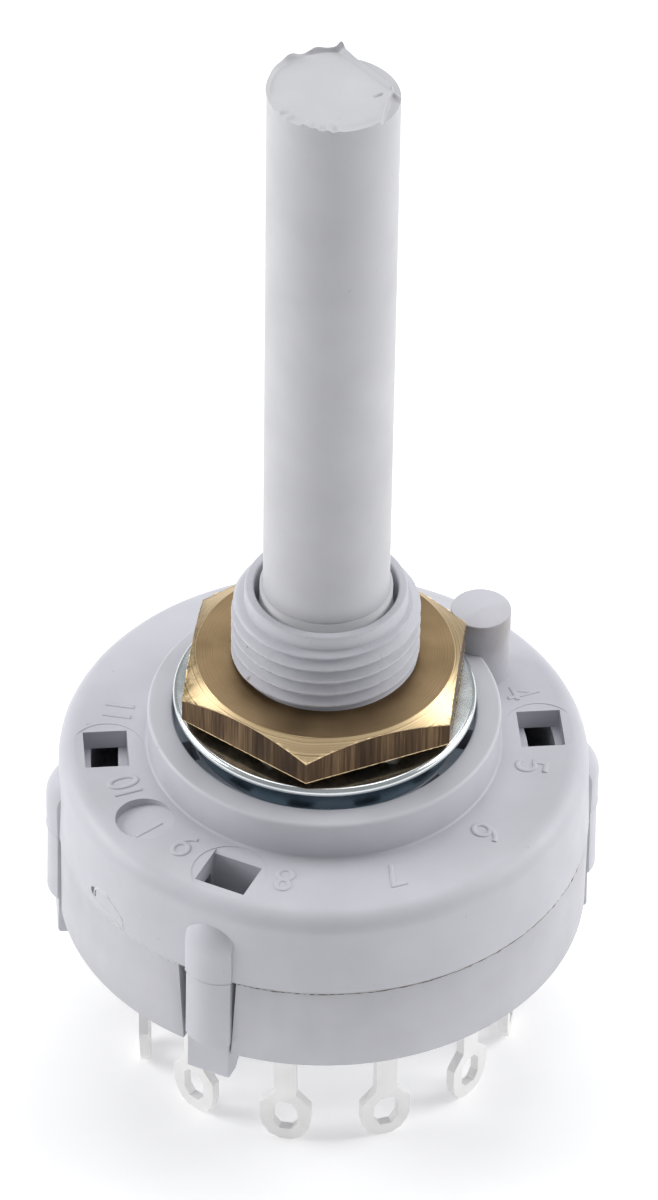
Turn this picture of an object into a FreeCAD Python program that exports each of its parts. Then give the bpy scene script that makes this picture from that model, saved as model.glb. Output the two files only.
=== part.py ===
"""Twelve way panel mounting rotary switch with a long plain spindle.

Millimetres. The origin lies on the spindle's axis in the plane of the seat, the ring that meets the
back of the panel. +Z runs up the spindle. Angles are counted anticlockwise from +X, seen from above.
"""
import FreeCAD, Part
import math
import os
from FreeCAD import Vector

# Spindle
SHAFT_R = 6.35 / 2
SHAFT_TOP_Z = 38.6
JOURNAL_R = 3.34
JOURNAL_TOP_Z = 8.25
END_DISC_R = 2.65
END_DISC_H = 0.14
END_DISC_CHORD = 1.55
END_DISC_CHORD_AT = 50.0

# Threaded bush, 3/8 inch by 32 threads to the inch
BUSH_CREST_R = 9.525 / 2
BUSH_PITCH_R = 9.01 / 2
BUSH_TOP_Z = 8.1
LEAD_R = 4.1
LEAD_H = 1.0
MOUTH_R = 3.62
MOUTH_DEPTH = 2.0
BORE_R = 3.40

# Collar, its recess and the dial face round it
COLLAR_R = 9.0
RECESS_R = 7.82
RECESS_Z = -1.0
FACE_Z = -2.2
BODY_TOP_R = 13.5
BODY_R = 13.69
FACE_CHAMFER = 0.65
PARTING_Z = -7.05
BASE_R = 13.67
BASE_Z = -12.1

# Positions: number n on the dial and terminal n stand at DIAL_ZERO - STEP * n
POSITIONS = 12
STEP = 30.0
DIAL_ZERO = 140.0

# Locating peg and the marked recess opposite it
PEG_AT = 35.0
PEG_PITCH_R = 9.7
PEG_R = 1.55
PEG_TOP_Z = 1.92
PEG_FOOT_R = 1.72
PEG_FOOT_TOP_Z = -0.05
MARK_AT = -145.0
MARK_PITCH_R = 10.9
MARK_R = 1.48
MARK_DEPTH = 0.46
MARK_FALLS_TO = 135.0

# Inside of the housing
WALL_IN_R = 11.9
PLATE_Z = -3.36
CEILING_Z = -2.6
CAM_OUT_R = 10.5
CAM_CREST_R = 9.3
NOTCH_DEPTH = 0.45
NOTCH_FLANK = 60.0
NOTCH_TOP_Z = -4.3

# Holes for the tongue of the stop ring
STOP_HOLE_IN_R = 6.9
STOP_HOLE_OUT_R = 7.55
STOP_HOLE_W = 1.5

# Snap clips and the windows over them
CLIP_AT = (5.4, -114.6, -174.6)
CLIP_W = 2.3
CLIP_IN_R = 12.35
CLIP_TIP_Z = -13.8
CLIP_SINK = 0.03
BOSS_R = 1.9
BOSS_W = 2.55
BOSS_CENTRE_R = 12.33
BOSS_BALL_Z = -5.15
BOSS_END_Z = -11.4
HOOK_IN_R = 11.7
HOOK_GAP = 0.04
HOOK_NOSE_H = 0.35
HOOK_LEAD_R = 12.75
SLOT_TOP_W = 3.2
SLOT_LOW_W = 2.64
SLOT_IN_R = 12.15
WINDOW_R = 11.12
WINDOW_RADIAL = 2.24
WINDOW_W = 2.68

# Key of the base in the rim of the housing: upright at one end, an arc down to the other
KEY_AT = -142.0
KEY_HALF_W = 1.25
KEY_H = 0.85
KEY_MIDDLE_H = 0.61
KEY_IN_R = 12.9
KEY_ROOT = 0.5
KEY_SINK = 0.07
KEY_GAP = 0.04

# Base
BASE_IN_R = 11.2
FLOOR_Z = -9.6
HUB_DEPTH = 1.3

# Drum of the spindle, its thrust shoulder, pivot and stop lug
DRUM_R = 8.9
DRUM_TOP_Z = -3.75
DRUM_BOTTOM_Z = -7.4
SHOULDER_R = 5.6
SHOULDER_Z = -2.75
PIVOT_R = 1.9
PIVOT_GAP = 0.05
PIVOT_Z = -10.7
STOP_LUG_IN_R = 6.8
STOP_LUG_OUT_R = 7.6
STOP_LUG_ANGLE = 18.2
STOP_LUG_AT = DIAL_ZERO - STEP / 2

# Detent: two balls and the spring between them in the drum's cross hole
DETENT_AT = 20.0
DETENT_Z = -5.6
BALL_R = 25.4 / 32
BALL_GAP = 0.03
CROSS_HOLE_R = BALL_R + 0.04
COIL_R = 0.62
COIL_WIRE = 0.22
COIL_TURNS = 5
COIL_SIDES = 6
COIL_GAP = 0.02

# Wiper, a leaf staked under the drum, and the guide that holds it straight
WIPER_AT = DIAL_ZERO - STEP
WIPER_W = 1.6
WIPER_T = 0.25
WIPER_SEAT_Z = -8.4
WIPER_LOW_Z = -9.27
WIPER_TIP_Z = -9.05
WIPER_ENDS_R = (4.75, 10.1)
WIPER_LOW_R = (5.45, 9.4)
WIPER_FLAT_R = (6.5, 8.2)
GUIDE_IN_R = 6.2
GUIDE_OUT_R = 8.5
GUIDE_W = 3.0
GUIDE_Z = -8.8
GUIDE_GAP = 0.05
STAKE_AT_R = 7.35
STAKE_W = 0.8
STAKE_HEAD_W = 1.2
STAKE_HEAD_H = 0.22

# Terminals
TERMINAL_R = 10.0
TERMINAL_T = 0.5
TERMINAL_GAP = 0.03
STEM_W = 1.15
LUG_W = 2.66
LUG_SHOULDER_Z = -17.75
LUG_WIDE_Z = -18.55
LUG_NARROW_Z = -19.55
LUG_FOOT = [(2.4, -20.15), (1.7, -20.7), (0.7, -20.95)]
EYE = [(0.6, -18.4), (1.28, -18.8), (1.28, -19.8), (0.6, -20.25)]
PAD_T = 0.3
PAD_W = 1.8
PAD_IN_R = 8.7
COMMON_AT = 35.0
COMMON_R = 5.5
COMMON_RING_IN_R = 4.6
COMMON_RING_OUT_R = 6.3
COMMON_RING_SIDES = 24

# Stop ring, lock washer and nut
STOP_RING_IN_R = 4.62
STOP_RING_OUT_R = 6.82
STOP_RING_TOP_Z = 0.2
TONGUE_AT = DIAL_ZERO - STEP * POSITIONS
TONGUE_W = 1.3
TONGUE_T = 0.5
TONGUE_Z = -3.45
TONGUE_ARM_Z = -0.7
TONGUE_ROOT = 0.5
LOCK_OUT_R = 7.55
LOCK_IN_R = 6.0
LOCK_Z = 0.7
LOCK_T = 0.5
TOOTH_IN_R = 4.75
TOOTH_ROOT = 0.3
TOOTH_W = 1.7
TOOTH_TWIST = 35.0
TOOTH_COUNT = 6
NUT_FLATS = 13.5
NUT_Z = 1.7
NUT_TOP_Z = 3.7
NUT_FACE_R = 6.54
NUT_CHAMFER = 30.0
NUT_AT = 23.6
NUT_BORE_R = BUSH_PITCH_R + 0.015

AXIS = Vector(0, 0, 1)
ORIGIN = Vector(0, 0, 0)

# How far a cutter or a root reaches past the surface it has to pass
PAST = 1.0


def turned(shape, degrees):
    """The shape turned about the spindle's axis."""
    copy = shape.copy()
    copy.rotate(ORIGIN, AXIS, degrees)
    return copy


def revolved(profile):
    """The closed profile of (radius, height) points turned once round the axis."""
    points = [Vector(r, 0, z) for r, z in profile]
    face = Part.Face(Part.makePolygon(points + points[:1]))
    return face.revolve(ORIGIN, AXIS, 360)


def disc(radius, low, high, at=ORIGIN):
    """An upright cylinder from height low to height high."""
    return Part.makeCylinder(radius, high - low, Vector(at.x, at.y, low))


def block(inner, outer, width, low, high):
    """A box from radius inner to radius outer on +X, centred on it."""
    return Part.makeBox(outer - inner, width, high - low, Vector(inner, -width / 2, low))


def post(radius, width, low, high):
    """A square post on +X at this radius."""
    return block(radius - width / 2, radius + width / 2, width, low, high)


def plate(outline, width):
    """The (radius, height) outline on +X as a plate of this width, centred on it."""
    points = [Vector(r, -width / 2, z) for r, z in outline]
    return Part.Face(Part.makePolygon(points + points[:1])).extrude(Vector(0, width, 0))


def polar(radius, degrees, z=0.0):
    """The point at this radius and angle."""
    a = math.radians(degrees)
    return Vector(radius * math.cos(a), radius * math.sin(a), z)


def many_sided(radius, sides, low, high):
    """An upright prism with its corners at this radius, the first on +X."""
    points = [polar(radius, 360.0 / sides * k, low) for k in range(sides)]
    return Part.Face(Part.makePolygon(points + points[:1])).extrude(Vector(0, 0, high - low))


def across(edge, inner, thickness):
    """A sheet across +X at radius inner; its edge runs down through (width, height) pairs."""
    points = [Vector(inner, w / 2, z) for w, z in edge]
    points += [Vector(inner, -w / 2, z) for w, z in reversed(edge)]
    return Part.Face(Part.makePolygon(points + points[:1])).extrude(Vector(thickness, 0, 0))


def ring(inner, outer, low, high):
    """A flat ring."""
    return disc(outer, low, high).cut(disc(inner, low, high))


def sector(inner, outer, angle, low, high):
    """A stretch of a ring, centred on +X."""
    wedge = Part.makeCylinder(outer, high - low, Vector(0, 0, low), AXIS, angle)
    return turned(wedge, -angle / 2).cut(disc(inner, low, high))


def dial_angle(n):
    """Where number n stands on the dial."""
    return DIAL_ZERO - STEP * n


def shell():
    """The housing's bush, collar, face, wall and cam ring as one turned form."""
    lead_z = BUSH_TOP_Z - LEAD_H
    mouth_z = BUSH_TOP_Z - MOUTH_DEPTH
    return revolved([
        (BORE_R, CEILING_Z), (BORE_R, mouth_z), (MOUTH_R, mouth_z),
        (MOUTH_R, BUSH_TOP_Z), (LEAD_R, BUSH_TOP_Z), (LEAD_R, lead_z),
        (BUSH_CREST_R, lead_z), (BUSH_CREST_R, NUT_TOP_Z), (BUSH_PITCH_R, NUT_TOP_Z),
        (BUSH_PITCH_R, RECESS_Z), (RECESS_R, RECESS_Z), (RECESS_R, 0), (COLLAR_R, 0),
        (COLLAR_R, FACE_Z), (BODY_TOP_R - FACE_CHAMFER, FACE_Z), (BODY_TOP_R, FACE_Z - FACE_CHAMFER),
        (BODY_R, PARTING_Z), (WALL_IN_R, PARTING_Z), (WALL_IN_R, PLATE_Z), (CAM_OUT_R, PLATE_Z),
        (CAM_OUT_R, PARTING_Z), (CAM_CREST_R, PARTING_Z), (CAM_CREST_R, CEILING_Z)])


def detent_notches():
    """Twelve upright V grooves in the cam ring, one for each position."""
    apex = CAM_CREST_R + NOTCH_DEPTH
    inner = CAM_CREST_R - NOTCH_DEPTH
    half = (apex - inner) * math.tan(math.radians(NOTCH_FLANK))
    points = [Vector(apex, 0, PARTING_Z), Vector(inner, half, PARTING_Z), Vector(inner, -half, PARTING_Z)]
    groove = Part.Face(Part.makePolygon(points + points[:1])).extrude(Vector(0, 0, NOTCH_TOP_Z - PARTING_Z))
    return [turned(groove, DETENT_AT + STEP * k) for k in range(POSITIONS)]


def stop_holes():
    """The numbered holes that take the stop ring's tongue."""
    hole = block(STOP_HOLE_IN_R, STOP_HOLE_OUT_R, STOP_HOLE_W, CEILING_Z, RECESS_Z)
    return [turned(hole, dial_angle(n)) for n in range(1, POSITIONS + 1)]


def windows():
    """Square windows over the clips, which let the core of each hook be drawn out upwards."""
    inner = WINDOW_R - WINDOW_RADIAL / 2
    window = block(inner, inner + WINDOW_RADIAL, WINDOW_W, PLATE_Z, FACE_Z)
    return [turned(window, a) for a in CLIP_AT]


def peg():
    """The locating peg: a wider foot beside the collar and the pin above the seat."""
    at = polar(PEG_PITCH_R, PEG_AT)
    return disc(PEG_FOOT_R, FACE_Z, PEG_FOOT_TOP_Z, at).fuse(disc(PEG_R, FACE_Z, PEG_TOP_Z, at))


def mark_recess():
    """A round recess whose floor rises to the face on one side."""
    tilt = math.degrees(math.atan2(MARK_DEPTH, 2 * MARK_R))
    cutter = disc(MARK_R, 0, PAST)
    cutter.rotate(Vector(MARK_R, 0, 0), Vector(0, 1, 0), -tilt)
    cutter = turned(cutter, MARK_FALLS_TO)
    cutter.translate(polar(MARK_PITCH_R, MARK_AT, FACE_Z))
    return cutter


def clip():
    """A snap arm on +X: half round boss with a ball end, a flat leg and an inward hook."""
    boss = disc(BOSS_R, BOSS_END_Z, BOSS_BALL_Z, Vector(BOSS_CENTRE_R, 0, 0))
    boss = boss.fuse(Part.makeSphere(BOSS_R, Vector(BOSS_CENTRE_R, 0, BOSS_BALL_Z)))
    boss = boss.common(block(CLIP_IN_R, BODY_R + BOSS_R, BOSS_W, BOSS_END_Z, FACE_Z - FACE_CHAMFER))
    hook_z = BASE_Z - HOOK_GAP
    arm = plate([
        (CLIP_IN_R, PARTING_Z + PAST), (CLIP_IN_R, hook_z), (HOOK_IN_R, hook_z),
        (HOOK_IN_R, hook_z - HOOK_NOSE_H), (HOOK_LEAD_R, CLIP_TIP_Z), (BODY_R, CLIP_TIP_Z),
        (BODY_R, PARTING_Z + PAST)], CLIP_W)
    arm = arm.common(disc(BODY_R - CLIP_SINK, CLIP_TIP_Z, PARTING_Z + PAST))
    return arm.fuse(boss)


def rim_key(gap, outer):
    """The lens shaped key where base and housing interlock, grown by the gap."""
    half = KEY_HALF_W + gap
    corner = Vector(KEY_IN_R, -half, PARTING_Z + KEY_H + gap)
    middle = Vector(KEY_IN_R, 0, PARTING_Z + KEY_MIDDLE_H + gap)
    end = Vector(KEY_IN_R, half, PARTING_Z)
    root = [end, Vector(KEY_IN_R, half, PARTING_Z - KEY_ROOT), Vector(KEY_IN_R, -half, PARTING_Z - KEY_ROOT)]
    edges = [Part.Arc(corner, middle, end).toShape()]
    edges += [Part.makeLine(a, b) for a, b in zip(root, root[1:] + [corner])]
    slab = Part.Face(Part.Wire(edges)).extrude(Vector(outer, 0, 0))
    return turned(slab, KEY_AT).common(disc(outer, PARTING_Z - KEY_ROOT, PARTING_Z + PAST))


def housing():
    """One moulding: threaded bush, collar with recess, dial face, wall, cam ring, peg and clips."""
    form = shell().fuse([peg()] + [turned(clip(), a) for a in CLIP_AT])
    cuts = detent_notches() + stop_holes() + windows()
    cuts += [mark_recess(), rim_key(KEY_GAP, BODY_R + PAST)]
    return form.cut(cuts).removeSplitter()


def terminal_places():
    """Radius and angle of every terminal: the twelve outer ones, then the common one."""
    outer = [(TERMINAL_R, dial_angle(n)) for n in range(1, POSITIONS + 1)]
    return outer + [(COMMON_R, COMMON_AT)]


def clip_slot():
    """The slot for a clip on +X, narrower towards the foot of the base."""
    corners = [(SLOT_TOP_W, PARTING_Z), (SLOT_LOW_W, BASE_Z)]
    return across(corners, SLOT_IN_R, BODY_R + PAST - SLOT_IN_R)


def contact_base():
    """The moulded base: floor for the contacts, hub, clip slots, terminal slots and key."""
    hub_r = PIVOT_R + PIVOT_GAP
    hub_z = FLOOR_Z - HUB_DEPTH
    form = revolved([
        (0, BASE_Z), (BASE_R, BASE_Z), (BASE_R, PARTING_Z), (BASE_IN_R, PARTING_Z), (BASE_IN_R, FLOOR_Z),
        (hub_r, FLOOR_Z), (hub_r, hub_z), (0, hub_z)])
    form = form.fuse(rim_key(0, BASE_R - KEY_SINK))
    cuts = [turned(clip_slot(), a) for a in CLIP_AT]
    half_t = TERMINAL_T / 2 + TERMINAL_GAP
    for radius, angle in terminal_places():
        hole = block(radius - half_t, radius + half_t, STEM_W + 2 * TERMINAL_GAP, BASE_Z, FLOOR_Z)
        cuts.append(turned(hole, angle))
    return form.cut(cuts).removeSplitter()


def solder_lug(radius):
    """A stamped blade on +X with an eyed solder lug at its foot."""
    inner = radius - TERMINAL_T / 2
    edge = [(STEM_W, FLOOR_Z), (STEM_W, LUG_SHOULDER_Z), (LUG_W, LUG_WIDE_Z), (LUG_W, LUG_NARROW_Z)]
    return across(edge + LUG_FOOT, inner, TERMINAL_T).cut(across(EYE, inner, TERMINAL_T))


def outer_terminal(n):
    """Terminal n: its contact pad on the floor of the base and its lug below."""
    pad = block(PAD_IN_R, TERMINAL_R + TERMINAL_T / 2, PAD_W, FLOOR_Z, FLOOR_Z + PAD_T)
    return turned(solder_lug(TERMINAL_R).fuse(pad).removeSplitter(), dial_angle(n))


def common_terminal():
    """The ring that the wiper always touches, and its lug."""
    track = many_sided(COMMON_RING_OUT_R, COMMON_RING_SIDES, FLOOR_Z, FLOOR_Z + PAD_T)
    track = track.cut(many_sided(COMMON_RING_IN_R, COMMON_RING_SIDES, FLOOR_Z, FLOOR_Z + PAD_T))
    return turned(solder_lug(COMMON_R), COMMON_AT).fuse(track).removeSplitter()


def wiper_guide():
    """Two ribs on +X under the drum with the wiper between them, and the stake that holds it."""
    ribs = block(GUIDE_IN_R, GUIDE_OUT_R, GUIDE_W, GUIDE_Z, DRUM_BOTTOM_Z)
    track = block(GUIDE_IN_R, GUIDE_OUT_R, WIPER_W + 2 * GUIDE_GAP, GUIDE_Z, WIPER_SEAT_Z)
    under = WIPER_SEAT_Z - WIPER_T
    head = post(STAKE_AT_R, STAKE_HEAD_W, under - STAKE_HEAD_H, under)
    return ribs.cut(track).fuse([post(STAKE_AT_R, STAKE_W, under, WIPER_SEAT_Z), head])


def end_disc():
    """The low disc left on the shaft's end, cut off straight on one side."""
    top = SHAFT_TOP_Z + END_DISC_H
    beyond = block(END_DISC_CHORD, END_DISC_R + PAST, 2 * END_DISC_R, SHAFT_TOP_Z, top)
    return disc(END_DISC_R, SHAFT_TOP_Z, top).cut(turned(beyond, END_DISC_CHORD_AT))


def spindle():
    """One moulding: shaft, journal, shoulder, drum with stop lug, wiper guide and pivot."""
    form = revolved([
        (0, PIVOT_Z), (PIVOT_R, PIVOT_Z), (PIVOT_R, DRUM_BOTTOM_Z), (DRUM_R, DRUM_BOTTOM_Z),
        (DRUM_R, DRUM_TOP_Z), (SHOULDER_R, DRUM_TOP_Z), (SHOULDER_R, SHOULDER_Z),
        (JOURNAL_R, SHOULDER_Z), (JOURNAL_R, JOURNAL_TOP_Z), (SHAFT_R, JOURNAL_TOP_Z),
        (SHAFT_R, SHAFT_TOP_Z), (0, SHAFT_TOP_Z)])
    lug = sector(STOP_LUG_IN_R, STOP_LUG_OUT_R, STOP_LUG_ANGLE, DRUM_TOP_Z, SHOULDER_Z)
    form = form.fuse([turned(lug, STOP_LUG_AT), turned(wiper_guide(), WIPER_AT), end_disc()])
    cross = Part.makeCylinder(CROSS_HOLE_R, 2 * DRUM_R, Vector(-DRUM_R, 0, DETENT_Z), Vector(1, 0, 0))
    return form.cut(turned(cross, DETENT_AT)).removeSplitter()


def ball(side):
    """A detent ball in the cross hole, drawn in to the crest of the cam ring."""
    radius = CAM_CREST_R - BALL_GAP - BALL_R
    return Part.makeSphere(BALL_R, polar(radius, DETENT_AT + side, DETENT_Z))


def coil(radius, wire, length):
    """A spring on the origin: the wire's square section, lofted through its places on a helix."""
    inner = radius - wire / 2
    outer = radius + wire / 2
    points = [Vector(inner, 0, 0), Vector(outer, 0, 0), Vector(outer, 0, wire), Vector(inner, 0, wire)]
    section = Part.makePolygon(points + points[:1])
    steps = COIL_TURNS * COIL_SIDES
    places = []
    for k in range(steps + 1):
        place = turned(section, 360.0 / COIL_SIDES * k)
        place.translate(Vector(0, 0, (length - wire) * k / steps))
        places.append(place)
    return Part.makeLoft(places, True, True)


def detent_spring():
    """The spring between the two balls, along the cross hole."""
    length = 2 * (CAM_CREST_R - BALL_GAP - 2 * BALL_R - COIL_GAP)
    spring = coil(COIL_R, COIL_WIRE, length)
    spring.rotate(ORIGIN, Vector(0, 1, 0), 90)
    spring.translate(Vector(-length / 2, 0, DETENT_Z))
    return turned(spring, DETENT_AT)


def wiper():
    """The springy contact leaf: a flat middle and two arms down to the common ring and the pads."""
    seat = WIPER_SEAT_Z - WIPER_T
    lower = [(WIPER_ENDS_R[0], WIPER_TIP_Z), (WIPER_LOW_R[0], WIPER_LOW_Z), (WIPER_FLAT_R[0], seat)]
    lower += [(WIPER_FLAT_R[1], seat), (WIPER_LOW_R[1], WIPER_LOW_Z), (WIPER_ENDS_R[1], WIPER_TIP_Z)]
    upper = [(r, z + WIPER_T) for r, z in reversed(lower)]
    leaf = plate(lower + upper, WIPER_W)
    return turned(leaf.cut(post(STAKE_AT_R, STAKE_W, seat, WIPER_SEAT_Z)), WIPER_AT)


def stop_ring():
    """The ring that limits the travel, with its tongue bent down through the last hole."""
    form = ring(STOP_RING_IN_R, STOP_RING_OUT_R, RECESS_Z, STOP_RING_TOP_Z)
    tongue_in_r = (STOP_HOLE_IN_R + STOP_HOLE_OUT_R - TONGUE_T) / 2
    tongue_out_r = tongue_in_r + TONGUE_T
    tongue = plate([
        (STOP_RING_OUT_R - TONGUE_ROOT, STOP_RING_TOP_Z), (STOP_RING_OUT_R - TONGUE_ROOT, TONGUE_ARM_Z),
        (tongue_in_r, TONGUE_ARM_Z), (tongue_in_r, TONGUE_Z), (tongue_out_r, TONGUE_Z),
        (tongue_out_r, STOP_RING_TOP_Z)], TONGUE_W)
    return form.fuse(turned(tongue, TONGUE_AT)).removeSplitter()


def lock_washer():
    """A washer whose inner teeth are twisted out of its plane."""
    form = ring(LOCK_IN_R, LOCK_OUT_R, LOCK_Z, LOCK_Z + LOCK_T)
    tooth = block(TOOTH_IN_R, LOCK_IN_R + TOOTH_ROOT, TOOTH_W, LOCK_Z, LOCK_Z + LOCK_T)
    tooth.rotate(Vector(0, 0, LOCK_Z + LOCK_T / 2), Vector(1, 0, 0), TOOTH_TWIST)
    teeth = [turned(tooth, 360.0 / TOOTH_COUNT * k) for k in range(TOOTH_COUNT)]
    return form.fuse(teeth).removeSplitter()


def hex_nut():
    """The hexagon nut, turned to a chamfer on its upper face."""
    height = NUT_TOP_Z - NUT_Z
    corner_r = NUT_FLATS / 2 / math.cos(math.radians(30))
    form = turned(many_sided(corner_r, 6, NUT_Z, NUT_TOP_Z), NUT_AT)
    reach = NUT_FACE_R + height / math.tan(math.radians(NUT_CHAMFER))
    form = form.common(Part.makeCone(reach, NUT_FACE_R, height, Vector(0, 0, NUT_Z)))
    return form.cut(disc(NUT_BORE_R, NUT_Z, NUT_TOP_Z))


def nodes():
    """Every piece of the switch by its name."""
    pieces = {
        "housing": housing(),
        "contact_base": contact_base(),
        "spindle": spindle(),
        "detent_ball_a": ball(0),
        "detent_ball_b": ball(180),
        "detent_spring": detent_spring(),
        "wiper": wiper(),
        "common_terminal": common_terminal(),
        "stop_ring": stop_ring(),
        "lock_washer": lock_washer(),
        "hex_nut": hex_nut(),
    }
    for n in range(1, POSITIONS + 1):
        pieces[f"terminal_{n:02d}"] = outer_terminal(n)
    return pieces


os.makedirs("parts", exist_ok=True)
for name, shape in nodes().items():
    shape.exportStep(f"parts/{name}.step")
    print(name, shape.ShapeType, len(shape.Solids), shape.isValid(), round(shape.Volume, 2))
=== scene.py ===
"""Looks of the rotary switch: moulded grey housing and spindle, brass nut, zinc washers, silver lugs.

Sizes are millimetres in the switch's own frame and become metres when a mesh is made. Angles are
degrees, anticlockwise from +X seen from above.
"""
import math

import bmesh
import bpy
import numpy as np
from mathutils import Matrix


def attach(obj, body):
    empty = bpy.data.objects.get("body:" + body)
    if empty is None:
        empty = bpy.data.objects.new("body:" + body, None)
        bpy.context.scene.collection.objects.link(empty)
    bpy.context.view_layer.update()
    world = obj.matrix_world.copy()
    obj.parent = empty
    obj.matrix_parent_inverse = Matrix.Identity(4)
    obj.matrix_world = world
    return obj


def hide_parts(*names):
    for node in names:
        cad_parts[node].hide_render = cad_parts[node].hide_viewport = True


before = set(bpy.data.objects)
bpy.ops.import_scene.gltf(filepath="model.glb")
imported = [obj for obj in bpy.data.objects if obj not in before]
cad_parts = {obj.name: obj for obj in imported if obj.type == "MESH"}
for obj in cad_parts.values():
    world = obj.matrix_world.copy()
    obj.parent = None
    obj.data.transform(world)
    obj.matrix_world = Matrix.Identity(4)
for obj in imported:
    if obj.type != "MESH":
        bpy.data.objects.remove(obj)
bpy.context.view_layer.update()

MM = 0.001
TURN = 2 * math.pi

# Gaps in metres below which points are one: in the meshes made here and in the solids
MERGE = 1e-8
WELD = 1e-7

# Spindle: its wall is plain up to PLAIN_TOP_Z and follows the torn end above it
SHAFT_R = 3.175
JOURNAL_TOP_Z = 8.25
PLAIN_TOP_Z = 37.2
WALL_LEVELS = (JOURNAL_TOP_Z, 12, 30, PLAIN_TOP_Z, 37.7, 38.0, 38.2, 38.35, 38.48)
END_Z = 38.62

# Its end: distance and direction of the ridge, directions of the torn back and front, the rolled lip
# and the low corner, and the places (x, y) of the chip and the slit
CHORD = 2.25
CHORD_AT = 39.6
BACK_AT = 122
FRONT_AT = -118
LIP_AT = -68
CORNER_AT = -12
CHIP = (1.95, -1.1)
SLIT = (2.06, -0.34)

# Bush and its thread; CREST_HALF and FLANK are parts of the pitch
PITCH = 25.4 / 32
CREST_R = 4.7625
CREST_Z = 6.57
CREST_AT = -90.0
ROOT_DEPTH = 0.44
CREST_HALF = 0.08
FLANK = 0.34
LEAD_R = 4.1
LEAD_Z = 7.28
SHOULDER_R = 4.5
SHOULDER_Z = 7.22
BUSH_TOP_Z = 8.1
MOUTH_R = 3.62
MOUTH_Z = 6.1
BORE_R = 3.41
NUT_TOP_Z = 3.7
UNDER_NUT_R = 4.505

# Spots of dirt on the thread: angle, height and size
DIRT_SPOTS = [(-57.8, 6.28, 0.07), (-144.7, 4.16, 0.08), (-157.4, 5.16, 0.06), (-150.0, 5.9, 0.05)]

# Housing, with the notches of its cam ring
RECESS_R = 7.7
RECESS_Z = -1.0
COLLAR_R = 9.0
FACE_Z = -2.2
FACE_ROUND = 1.07
BODY_TOP_R = 13.5
BODY_R = 13.69
PARTING_Z = -7.05
WALL_IN_R = 11.9
PLATE_Z = -3.36
CEILING_Z = -2.6
CAM_OUT_R = 10.5
CAM_IN_R = 9.3
NOTCH_DEPTH = 0.45
NOTCH_FLANK = 60.0
NOTCH_TOP_Z = -4.3
NOTCH_AT = 20.0

# Dial and stop holes; a hole has an inner and an outer radius and a width
STEP = 30.0
DIAL_ZERO = 140.0
POSITIONS = 12
STOP_HOLE = (6.9, 7.55, 1.5)

# Windows, one over each clip; the second is the front one, with a bevelled edge and a deep inner wall
CLIP_AT = (5.4, -114.6, -174.6)
WINDOW_IN_R = 10.0
WINDOW_OUT_R = 12.24
WINDOW_W = 2.68
BEVEL_IN = 0.3
BEVEL_OUT = 0.1
BEVEL_DROP = 0.2
DEEP_WALL = 1.3
WITNESS_R = 1.9
WITNESS_AT_R = 11.08
WITNESS_DEPTH = 0.028

# Clips and their bosses
CLIP_W = 2.3
CLIP_ASIDE = (0.0, 0.5, 0.0)
CLIP_LEAN = 0.02
CLIP_IN_R = 12.35
CLIP_OUT_R = 13.66
CLIP_TIP_Z = -13.8
CLIP_TIP_IN_R = 12.75
HOOK_Z = -12.14
HOOK_IN_R = 11.7
BOSS_R = 1.9
BOSS_HALF_W = 1.275
BOSS_CENTRE_R = 12.33
BOSS_BALL_Z = -5.15
BOSS_END_Z = -11.4

# Peg, and the marked recess with its bar
PEG_AT = 35.0
PEG_PITCH_R = 9.7
PEG_R = 1.55
PEG_TOP_Z = 1.92
MARK_AT = -145.0
MARK_PITCH_R = 10.9
MARK_R = 1.48
MARK_DEPTH = 0.46
MARK_FALLS_TO = 135.0
BAR_AT = -141.5
BAR_R = 11.14
BAR_HALF = 0.81

# Key: radius, angle and height of its hole, and angles and heights round its outline
KEY_HOLE = (0.27, -147.4, -6.2)
KEY_LINE = [(-147.35, -6.10), (-145.9, -5.71), (-142.7, -5.60), (-139.25, -5.95),
            (-137.1, -6.27), (-136.6, -6.95), (-139.9, -6.71), (-147.4, -6.59)]

# Numerals: radius of their middle, height, width and stroke, and how far the 10 is turned aside
NUMERAL_R = 10.72
NUMERAL_H = 1.45
NUMERAL_W = 0.84
STROKE_W = 0.27
STROKE_H = 0.062
TEN_ASIDE = 1.5

# Nut and lock washer; a tooth has an inner and an outer radius and a width
NUT_HALF_FLATS = 6.75
NUT_Z = 1.7
NUT_AT = 23.6
NUT_FACE_R = 6.54
NUT_BORE_R = 4.52
NUT_CHAMFER = math.tan(math.radians(30))
LOCK_Z = 0.7
LOCK_T = 0.5
LOCK_IN_R = 5.95
LOCK_OUT_R = 7.7
TOOTH = (4.75, 6.3, 1.7)
TOOTH_TWIST = 35.0
TOOTH_COUNT = 6

# Lugs bent by handling: number, sideways shift of the foot in x and y, and twist in degrees
BENT_LUGS = [(8, 0.10, 0.0, 0.0), (9, 0.15, -0.10, 0.0), (10, 0.36, -0.45, -20.0)]
TERMINAL_R = 10.0
BASE_Z = -12.1
LUG_EDGE = (0.035, 2)

# Camera, fitted to the photograph
CAMERA_AT = (0.0, -0.2446056, 0.2177766)
CAMERA_YAW = 0.0006
CAMERA_PITCH = 0.711
CAMERA_ROLL = 0.0159
CAMERA_LENS = 193.54
SENSOR_W = 36

# Floor, and soft boxes that face LIT_POINT: name, place and side in metres, and power
FLOOR_Z = -20.95
FLOOR_HALF = 1500.0
LIT_POINT = (0, 0, 0.005)
SOFT_BOXES = [("right_box", (0.40, 0.09, 0.22), 0.30, 1.35), ("left_box", (-0.40, 0.06, 0.20), 0.26, 1.25),
              ("top_box", (0.0, 0.18, 0.45), 0.35, 0.95)]


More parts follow.
